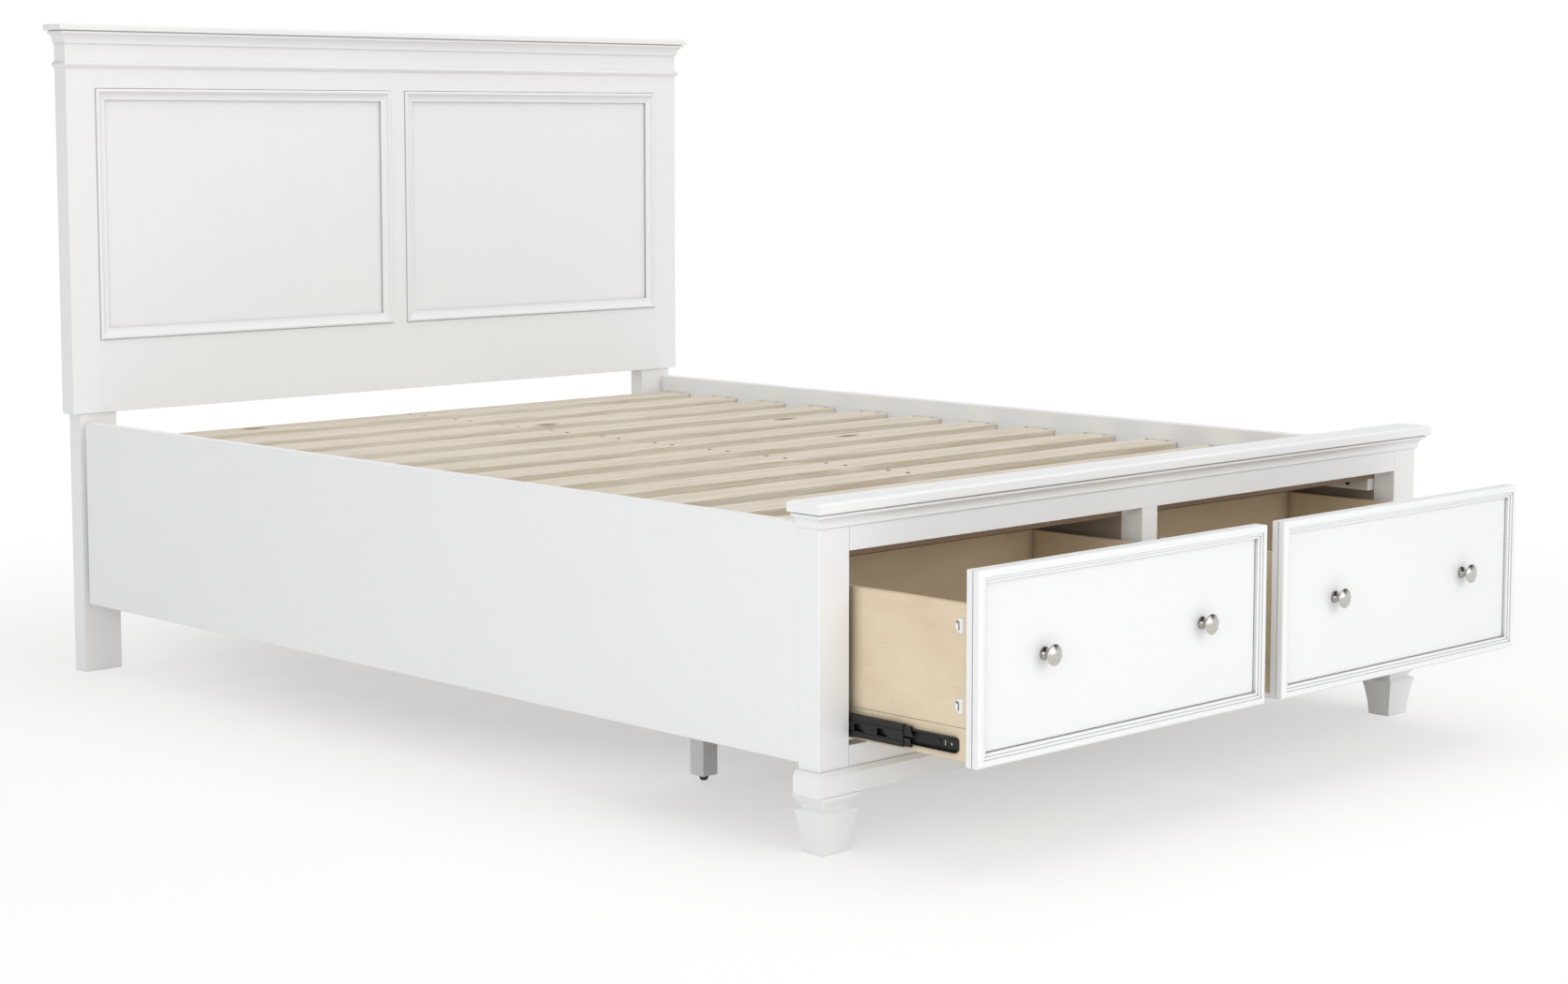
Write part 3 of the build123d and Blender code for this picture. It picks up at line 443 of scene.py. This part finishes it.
# %% Plywood
def birch_ply(name, grain, other_grain, turned, edge, stacked, plies_per_metre):
    """Plywood whose grain turns on faces that look along one axis and whose plies show along another."""
    made, tree, shader = new_finish("birch_plywood_" + name)
    swap = looking(tree, turned)
    figure = chosen(tree, swap, *[noise(tree, along_axis(axis, 0.30), scale=13, detail=8, roughness=0.66)
                                  for axis in (grain, other_grain)])
    pores = chosen(tree, swap, *[noise(tree, along_axis(axis, 0.10), scale=420, detail=3)
                                 for axis in (grain, other_grain)])
    cloud = noise(tree, even, scale=7.0, detail=5, roughness=0.6)
    face = ramp(tree, figure, [(0.28, (0.70, 0.575, 0.405)), (0.50, (0.745, 0.635, 0.465)),
                               (0.72, (0.775, 0.68, 0.52))])
    fleck = ramp(tree, pores, [(0.28, (0.94, 0.915, 0.88)), (0.42, plain_white)])
    drift = ramp(tree, cloud, [(0.3, (0.94, 0.92, 0.89)), (0.7, plain_white)])
    veneer = multiplied(tree, multiplied(tree, face, fleck), drift)
    plies = ply_edges(tree, stacked, plies_per_metre)
    colour = chosen(tree, looking(tree, edge), veneer, plies, kind="RGBA")
    # Painted shade: the colour darkens in corners and gaps, such as between a drawer side and a post.
    shade = painted_hollow_shade(tree, reach=0.030, shades=[(0.40, 0.45), (0.60, 0.80), (0.80, 1.0)])
    link(tree, multiplied(tree, colour, shade), shader.inputs["Base Color"])
    link(tree, spread(tree, figure, low=0.42, high=0.58), shader.inputs["Roughness"])
    normal = bumped(tree, pores, strength=0.10, distance=0.0004, under=eased_edges(tree, 0.0008))
    normal = bumped(tree, figure, strength=0.04, distance=0.0008, under=normal)
    link(tree, normal, shader.inputs["Normal"])
    return made


coat(["left_drawer_box", "right_drawer_box"],
     birch_ply("box", grain="y", other_grain="x", turned="y", edge="z", stacked="x",
               plies_per_metre=box_plies))
coat(["cabinet_back_board"],
     birch_ply("back", grain="x", other_grain="z", turned="x", edge="z", stacked="y",
               plies_per_metre=box_plies))
coat(["left_drawer_bottom", "right_drawer_bottom"],
     birch_ply("floor", grain="x", other_grain="y", turned="x", edge="y", stacked="z",
               plies_per_metre=bottom_plies))

# %% [markdown]
# ## Pressed boards
# The sides of the drawer bays are raw fibreboard and the panel over the drawers is brown hardboard.
# Both are pressed fibres with no grain, so even noise at two sizes is enough: one for the specks and a
# slow one for the clouds. One helper makes both, because only their colours and their gloss differ.

# %% Pressed boards
def pressed_board(name, dark, light, low_gloss, high_gloss):
    """Pressed wood fibres: short specks, slow clouds and a smooth skin."""
    made, tree, shader = new_finish(name)
    fibres = noise(tree, even, scale=420, detail=5, roughness=0.65)
    cloud = noise(tree, even, scale=9, detail=3)
    board = ramp(tree, fibres, [(0.3, dark), (0.7, light)])
    drift = ramp(tree, cloud, [(0.3, (0.85, 0.83, 0.80)), (0.7, plain_white)])
    link(tree, multiplied(tree, board, drift), shader.inputs["Base Color"])
    link(tree, spread(tree, fibres, low_gloss, high_gloss), shader.inputs["Roughness"])
    normal = bumped(tree, fibres, strength=0.12, distance=0.0003, under=eased_edges(tree, 0.0006))
    link(tree, normal, shader.inputs["Normal"])
    return made


coat(["cabinet_dust_panel"],
     pressed_board("brown_hardboard", dark=(0.22, 0.145, 0.095), light=(0.35, 0.245, 0.165),
                   low_gloss=0.38, high_gloss=0.56))
coat(["cabinet_side_left", "cabinet_side_right", "cabinet_partition"],
     pressed_board("raw_fibreboard", dark=(0.33, 0.275, 0.225), light=(0.43, 0.365, 0.305),
                   low_gloss=0.55, high_gloss=0.72))

# %% [markdown]
# ## Planed pine
# The slats, the centre beam and its legs are planed pine with growth rings and a few knots. Real rings
# are curved, but on a planed face they are long stripes, so stretched noise is folded to and fro into
# bands. A cell pattern sets a dark eye at the heart of each cell for the knots.

# %% Pine
def planed_pine(axis):
    """Pine with growth rings along one axis, and small knots."""
    made, tree, shader = new_finish("planed_pine_" + axis)
    rings = noise(tree, along_axis(axis, 0.035), scale=26, detail=5, roughness=0.5)
    fibre = noise(tree, along_axis(axis, 0.02), scale=420, detail=4)
    bands = spread(tree, calculated(tree, "PINGPONG", rings, 0.07), low=0.0, high=14.0)
    board = ramp(tree, bands, [(0.15, (0.755, 0.70, 0.60)), (0.85, (0.68, 0.60, 0.48))])
    knots = tree.nodes.new("ShaderNodeTexVoronoi")
    knots.inputs["Scale"].default_value = 7.0
    link(tree, mapped(tree, own_place(tree), along_axis(axis, 0.4)), knots.inputs["Vector"])
    eye = ramp(tree, knots.outputs["Distance"], [(0.05, (0.36, 0.20, 0.10)), (0.11, plain_white)])
    hair = ramp(tree, fibre, [(0.3, (0.88, 0.86, 0.82)), (0.6, plain_white)])
    link(tree, multiplied(tree, multiplied(tree, board, hair), eye), shader.inputs["Base Color"])
    link(tree, spread(tree, fibre, low=0.5, high=0.68), shader.inputs["Roughness"])
    normal = bumped(tree, fibre, strength=0.14, distance=0.0004, under=eased_edges(tree, 0.0010))
    link(tree, normal, shader.inputs["Normal"])
    return made


coat(["slats"], planed_pine("x"))
coat(["centre_beam"], planed_pine("y"))
coat(["centre_legs"], planed_pine("z"))

# %% [markdown]
# ## Slide steel
# The slides are rolled steel with a black dip coat that has been rubbed a little paler along its
# length. Bare black would lose the form of the flanges, so noise drawn out along the slide varies both
# the grey and the gloss, and shade painted into the colour darkens the hollows between the members
# almost to nothing.

# %% Slide steel
def black_slide_steel():
    made, tree, shader = new_finish("black_slide_steel")
    rub = noise(tree, along_axis("y", 0.02), scale=700, detail=4)
    peel = noise(tree, even, scale=900, detail=2)
    colour = ramp(tree, rub, [(0.40, (0.022, 0.022, 0.023)), (0.66, (0.028, 0.028, 0.029)),
                              (0.82, (0.040, 0.040, 0.042))])
    # Painted shade in the windows and between the members.
    shade = painted_hollow_shade(tree, reach=0.010, shades=[(0.48, 0.06), (0.74, 1.0)])
    link(tree, multiplied(tree, colour, shade), shader.inputs["Base Color"])
    shader.inputs["Metallic"].default_value = 0.1
    shader.inputs["Specular IOR Level"].default_value = 0.3
    link(tree, spread(tree, rub, low=0.62, high=0.46), shader.inputs["Roughness"])
    normal = bumped(tree, peel, strength=0.08, distance=0.0002, under=eased_edges(tree, 0.0006))
    link(tree, normal, shader.inputs["Normal"])
    return made


coat([side + "_" + part for side in ("left", "right")
      for part in ("cabinet_slides", "runner_members", "drawer_slides")], black_slide_steel())

# %% [markdown]
# ## Zinc plate
# The corner brackets, the beam hanger and the bolts are zinc plated. Zinc sets in crystals, so its grey
# is mottled and so is its gloss. A cell pattern would draw hard crystal borders, which thin plating
# doesn't show, so soft noise drives both.

# %% Zinc
def zinc_plate():
    made, tree, shader = new_finish("zinc_bracket_steel")
    spangle = noise(tree, even, scale=90, detail=4, roughness=0.65)
    fine = noise(tree, along_axis("z", 0.1), scale=900, detail=3)
    colour = ramp(tree, spangle, [(0.32, (0.44, 0.45, 0.45)), (0.66, (0.63, 0.63, 0.62))])
    link(tree, colour, shader.inputs["Base Color"])
    shader.inputs["Metallic"].default_value = 1.0
    link(tree, spread(tree, spangle, low=0.30, high=0.52), shader.inputs["Roughness"])
    normal = bumped(tree, fine, strength=0.06, distance=0.0002, under=eased_edges(tree, 0.0008))
    link(tree, normal, shader.inputs["Normal"])
    return made


zinc = zinc_plate()
coat(["rail_brackets", "beam_hanger", "frame_bolts"], zinc)

# %% [markdown]
# ## Knob nickel
# The knobs are turned and plated with satin nickel: fine rings run round each one. A ring pattern needs
# a centre, and there are four knobs in two nodes. They are mirror images of one another, so folding the
# coordinates finds the distance from the nearest knob's centre with one formula.

# %% Distance from a knob's centre
def folded(tree, value, centre):
    """Distance of a coordinate from a centre, the same on both sides."""
    return calculated(tree, "ABSOLUTE", calculated(tree, "SUBTRACT", value, centre))


def from_knob_centre(tree):
    low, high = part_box("right_drawer_knobs")
    knob_radius = (high.z - low.z) / 2
    middle = (low.x + high.x) / 2
    apart = (high.x - low.x) / 2 - knob_radius
    from_bed_middle = folded(tree, one_axis(tree, own_place(tree), "x"), 0.0)
    join = tree.nodes.new("ShaderNodeCombineXYZ")
    link(tree, folded(tree, folded(tree, from_bed_middle, middle), apart), join.inputs["X"])
    above = folded(tree, one_axis(tree, own_place(tree), "z"), (low.z + high.z) / 2)
    link(tree, above, join.inputs["Z"])
    print("knobs", round(apart, 4), "to each side of", round(middle, 4))
    return length_of(tree, join.outputs[0])


# %% Nickel
def satin_nickel():
    made, tree, shader = new_finish("satin_nickel")
    turning = tree.nodes.new("ShaderNodeTexNoise")
    turning.noise_dimensions = "1D"
    turning.inputs["Scale"].default_value = 2600
    link(tree, from_knob_centre(tree), turning.inputs["W"])
    rings = turning.outputs["Fac"]
    haze = noise(tree, even, scale=60, detail=3)
    colour = ramp(tree, rings, [(0.3, (0.53, 0.525, 0.485)), (0.7, (0.58, 0.575, 0.53))])
    # Painted shade: the colour darkens where the knob is closed in, most at the neck by the front.
    shade = painted_hollow_shade(tree, reach=0.020, shades=[(0.45, 0.185), (0.90, 1.0)])
    link(tree, multiplied(tree, colour, shade), shader.inputs["Base Color"])
    shader.inputs["Metallic"].default_value = 1.0
    link(tree, spread(tree, haze, low=0.18, high=0.28), shader.inputs["Roughness"])
    link(tree, bumped(tree, rings, strength=0.025, distance=0.0001), shader.inputs["Normal"])
    return made


coat(["left_drawer_knobs", "right_drawer_knobs"], satin_nickel())

# %% [markdown]
# ## Plastics
# The clips let into the drawer sides are white plastic and the levelling glides are black. Moulded
# plastic is smooth, with slow flow marks and a fine skin, so one helper with two noises serves both.
# Its painted shade reaches only a few millimetres, into the slots of the clips.

# %% Plastics
def moulded_plastic(name, dark, light, low_gloss, high_gloss):
    made, tree, shader = new_finish(name)
    flow = noise(tree, even, scale=130, detail=4)
    skin = noise(tree, even, scale=2200, detail=2)
    # Painted shade in the slots.
    shade = painted_hollow_shade(tree, reach=0.004, shades=[(0.3, 0.25), (0.8, 1.0)])
    colour = multiplied(tree, ramp(tree, flow, [(0.3, dark), (0.7, light)]), shade)
    link(tree, colour, shader.inputs["Base Color"])
    link(tree, spread(tree, flow, low_gloss, high_gloss), shader.inputs["Roughness"])
    normal = bumped(tree, skin, strength=0.08, distance=0.0002, under=eased_edges(tree, 0.0007))
    link(tree, normal, shader.inputs["Normal"])
    return made


coat(["left_drawer_clips", "right_drawer_clips"],
     moulded_plastic("white_clip_plastic", dark=(0.80, 0.81, 0.82), light=(0.86, 0.86, 0.86),
                     low_gloss=0.25, high_gloss=0.38))
coat(["rear_glide_left", "rear_glide_right", "centre_glide_near", "centre_glide_far"],
     moulded_plastic("black_glide_plastic", dark=(0.012, 0.012, 0.012), light=(0.028, 0.028, 0.028),
                     low_gloss=0.4, high_gloss=0.6))

# %% [markdown]
# ## Screws
# A bed is held together by screws that a CAD model leaves out. Each head is a short cylinder whose top
# is inset and raised into a shallow dome, and a cross is cut into it with two Boolean cuts. A cross in
# the material would look flat from the side, so it is cut. One head is modelled, and every screw is a
# copy of its mesh.

# %% One screw head
def top_face(thing):
    """Selects only the face on top of a mesh in edit mode."""
    bpy.ops.mesh.select_all(action="DESELECT")
    shape = bmesh.from_edit_mesh(thing.data)
    shape.faces.ensure_lookup_table()
    highest = max(shape.faces, key=lambda face: (round(face.normal.z, 3), face.calc_center_median().z))
    highest.select = True
    bmesh.update_edit_mesh(thing.data)


def raised(thing, steps):
    """Insets the top face by each step's first length and lifts it by the second."""
    bpy.ops.object.mode_set(mode="EDIT")
    for inset, lift in steps:
        top_face(thing)
        bpy.ops.mesh.inset(thickness=inset)
        bpy.ops.transform.translate(value=(0, 0, lift))
    bpy.ops.object.mode_set(mode="OBJECT")
    bpy.ops.object.transform_apply(location=True, rotation=True, scale=True)


def screw_head(name, radius, height):
    """A domed head with a cross recess, standing on the origin and facing up."""
    ring = radius * 0.28
    cross_long, cross_wide, cross_deep = radius * 1.15, radius * 0.24, height * 1.2
    cross_middle = height * 1.3
    bpy.ops.object.select_all(action="DESELECT")
    bpy.ops.mesh.primitive_cylinder_add(vertices=24, radius=radius, depth=height,
                                        location=(0, 0, height / 2))
    head = bpy.context.object
    head.name = name
    raised(head, [(ring, height * 0.30), (ring, height * 0.12)])
    for turn in (0, math.pi / 2):
        bpy.ops.object.select_all(action="DESELECT")
        bpy.ops.mesh.primitive_cube_add(size=1, location=(0, 0, cross_middle), rotation=(0, 0, turn))
        blade = bpy.context.object
        blade.scale = (cross_long, cross_wide, cross_deep)
        bpy.ops.object.transform_apply(location=True, rotation=True, scale=True)
        cut = head.modifiers.new("cross", "BOOLEAN")
        cut.object = blade
        cut.operation = "DIFFERENCE"
        bpy.context.view_layer.objects.active = head
        bpy.ops.object.modifier_apply(modifier=cut.name)
        bpy.data.objects.remove(blade)
    print(name, "has", len(head.data.polygons), "faces")
    return head


screw = screw_head("screw_pattern", radius=0.0046, height=0.0016)

# %% [markdown]
# ### Copies of a pattern
# Each copy is moved to its place and turned to face outwards. That happens in its mesh, so the object
# stays at the origin and a finish in the object's own metres fits. The copies that go with one body are
# joined into one piece, which then rides on that body.

# %% Copies joined into one piece
crease = math.radians(35)


def copies(pattern, name, spots, body, material):
    """Copies of a pattern at (place, outward direction), joined into one piece on a body."""
    bpy.ops.object.select_all(action="DESELECT")
    for place, outward in spots:
        copy = pattern.copy()
        copy.data = pattern.data.copy()
        bpy.context.collection.objects.link(copy)
        turn = Vector((0, 0, 1)).rotation_difference(Vector(outward)).to_matrix().to_4x4()
        copy.data.transform(Matrix.Translation(place) @ turn)
        copy.select_set(True)
        bpy.context.view_layer.objects.active = copy
    bpy.ops.object.join()
    piece = bpy.context.object
    piece.name = name
    bpy.ops.object.shade_smooth_by_angle(angle=crease)
    piece.data.materials.clear()
    piece.data.materials.append(material)
    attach(piece, body)
    print(name, "has", len(spots), "copies")
    return piece


screw_sink = 0.0008
black_screw = moulded_plastic("black_screw_coat", dark=(0.010, 0.010, 0.011), light=(0.024, 0.024, 0.025),
                              low_gloss=0.30, high_gloss=0.45)
print("screws sink in by", screw_sink)

# %% [markdown]
# ### Slat screws
# A pair of screws holds each slat at both ends, and another pair holds it to the centre beam, where
# there is one: the beam stops at the drawer cabinet. The slats' box gives their ends and their height,
# so the screws follow the slats and only their distances from the edges are written down.

# %% Slat screws
slat_count, slat_wide = 13, 0.089
from_slat_end, from_slat_middle = 0.010, 0.026
low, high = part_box("slats")
slat_pitch = (high.y - low.y - slat_wide) / (slat_count - 1)
cabinet_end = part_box("cabinet_back_board")[1].y
spots = []
for step in range(slat_count):
    y = low.y + slat_wide / 2 + step * slat_pitch
    for aside in (-from_slat_middle, from_slat_middle):
        for x in (low.x + from_slat_end, high.x - from_slat_end):
            spots.append(((x, y + aside, high.z - screw_sink), (0, 0, 1)))
        if y > cabinet_end + slat_wide / 2:
            spots.append(((0, y + aside, high.z - screw_sink), (0, 0, 1)))
copies(screw, "slat_screws", spots, "bed_frame", zinc)

# %% [markdown]
# ### Screws of the headboard back
# A thin back panel is screwed to the rails, the stiles and the mullion behind it. A row runs along the
# top and another along the bottom, drawn in a little where the legs are, and three columns join them.
# One loop makes both rows and one makes the columns.

# %% Screws of the headboard back
row_count, row_gap, from_row_edge, bottom_row_share = 9, 0.194, 0.020, 0.88
column_count, column_start, column_gap, from_column_edge = 3, 0.91, 0.14, 0.016
low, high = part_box("headboard_back_panel")
back = high.y - screw_sink
spots = []
for step in range(row_count):
    x = (step - row_count // 2) * row_gap
    spots.append(((x, back, high.z - from_row_edge), (0, 1, 0)))
    spots.append(((x * bottom_row_share, back, low.z + from_row_edge), (0, 1, 0)))
for step in range(column_count):
    z = column_start + step * column_gap
    for x in (low.x + from_column_edge, 0, high.x - from_column_edge):
        spots.append(((x, back, z), (0, 1, 0)))
copies(screw, "headboard_back_screws", spots, "bed_frame", zinc)

# %% [markdown]
# ### Cleat screws
# Three black screws fix a cleat to the outer side of each drawer bay. The cleats share one node with
# those on the rails, so a cleat's face and middle are found from the boards beside it.

# %% Cleat screws
cleat_thick, cleat_half_high = 0.020, 0.011
along_cleat = (-0.858, -0.665, -0.480)
cleat_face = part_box("cabinet_side_right")[0].x - cleat_thick
cleat_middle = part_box("cabinet_dust_panel")[0].z - cleat_half_high
spots = []
for side in (-1, 1):
    for y in along_cleat:
        spots.append(((side * (cleat_face + screw_sink), y, cleat_middle), (-side, 0, 0)))
copies(screw, "cleat_screws", spots, "bed_frame", black_screw)

# %% [markdown]
# ### Bracket screws
# Each corner bracket has four screws in the wing that lies on the side rail, and the beam hanger has
# two at each side. Their heads stand proud of the steel, because thin steel can't take a countersink.

# %% Bracket screws
steel_thick, wing_wide, along_wing = 0.003, 0.045, 0.62
steel_sink, from_hanger_end = 0.0004, 0.026
wing_rises, hanger_rises = (-0.075, -0.025, 0.025, 0.075), (0.016, 0.036)
low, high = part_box("rail_brackets")
middle = (low.z + high.z) / 2
spots = []
for sign in (-1, 1):
    for y in (low.y + wing_wide * along_wing, high.y - wing_wide * along_wing):
        for rise in wing_rises:
            place = (sign * (high.x - steel_thick - steel_sink), y, middle + rise)
            spots.append((place, (-sign, 0, 0)))
hanger_low, hanger_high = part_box("beam_hanger")
for sign in (-1, 1):
    for rise in hanger_rises:
        place = (sign * (hanger_high.x - steel_sink), hanger_low.y + from_hanger_end, hanger_low.z + rise)
        spots.append((place, (sign, 0, 0)))
copies(screw, "bracket_screws", spots, "bed_frame", zinc)

# %% [markdown]
# ### Bolt washers
# A washer lies under the head of each bolt, on the brackets and in the counterbores of the headboard's
# legs. A disc is inset and raised for its chamfered rim, then inset again and sunk a little for the
# seat. The bolt stands in the middle, so no hole has to be cut.

# %% Bolt washers
washer_radius, washer_thick = 0.0094, 0.0014
rim_wide, rim_lift, seat_wide, seat_drop = 0.0006, 0.0004, 0.0028, 0.0005
bolt_from_rail, bolt_rise = 0.0155, 0.045
leg_bolt_heights, counterbore_deep = (0.598, 0.703, 0.808), 0.005
bpy.ops.object.select_all(action="DESELECT")
bpy.ops.mesh.primitive_cylinder_add(vertices=32, radius=washer_radius, depth=washer_thick,
                                    location=(0, 0, washer_thick / 2))
washer = bpy.context.object
raised(washer, [(rim_wide, rim_lift), (seat_wide, -seat_drop)])
bolt_x = high.x - bolt_from_rail
leg_low, leg_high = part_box("headboard_leg_right")
leg_x = (leg_low.x + leg_high.x) / 2
spots = []
for sign in (-1, 1):
    for rise in (-bolt_rise, bolt_rise):
        spots.append(((sign * bolt_x, low.y + steel_thick, middle + rise), (0, 1, 0)))
        spots.append(((sign * bolt_x, high.y - steel_thick, middle + rise), (0, -1, 0)))
    for z in leg_bolt_heights:
        spots.append(((sign * leg_x, leg_high.y - counterbore_deep, z), (0, 1, 0)))
copies(washer, "bolt_washers", spots, "bed_frame", zinc)

# %% [markdown]
# ### Slide screws
# Three black screws hold the inner slide member to each side of a drawer. Their heads lie in the channel
# between the rolled flanges, so they are set back from the node's box to the face of the web.

# %% Slide screws
flange_deep, web_sink = 0.0063, 0.0002
along_slide = (0.041, 0.190, 0.400)
for side, sign in (("left", -1), ("right", 1)):
    low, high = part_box(side + "_drawer_slides")
    web_out = max(abs(low.x), abs(high.x)) - flange_deep
    web_in = min(abs(low.x), abs(high.x)) + flange_deep
    middle = (low.z + high.z) / 2
    spots = []
    for from_front in along_slide:
        y = low.y + from_front
        spots.append(((sign * (web_out - web_sink), y, middle), (sign, 0, 0)))
        spots.append(((sign * (web_in + web_sink), y, middle), (-sign, 0, 0)))
    copies(screw, side + "_slide_screws", spots, side + "_drawer", black_screw)

# %% [markdown]
# ### Knob screws
# Each knob is held by a larger screw from inside the drawer, through the front. It sits on the back of
# the front plate, in line with the knob, so the two boxes give its place. The patterns have done their
# work after it and are removed.

# %% Knob screws
knob_screw_sink = 0.0006
knob_screw = screw_head("knob_screw_pattern", radius=0.0058, height=0.0022)
for side in ("left", "right"):
    low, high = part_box(side + "_drawer_knobs")
    radius = (high.z - low.z) / 2
    plate_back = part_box(side + "_drawer_front_plate")[1].y
    middle = (low.z + high.z) / 2
    spots = [((x, plate_back - knob_screw_sink, middle), (0, 1, 0))
             for x in (low.x + radius, high.x - radius)]
    copies(knob_screw, side + "_knob_screws", spots, side + "_drawer", zinc)
for pattern in (screw, knob_screw, washer):
    bpy.data.objects.remove(pattern)
print("patterns removed")
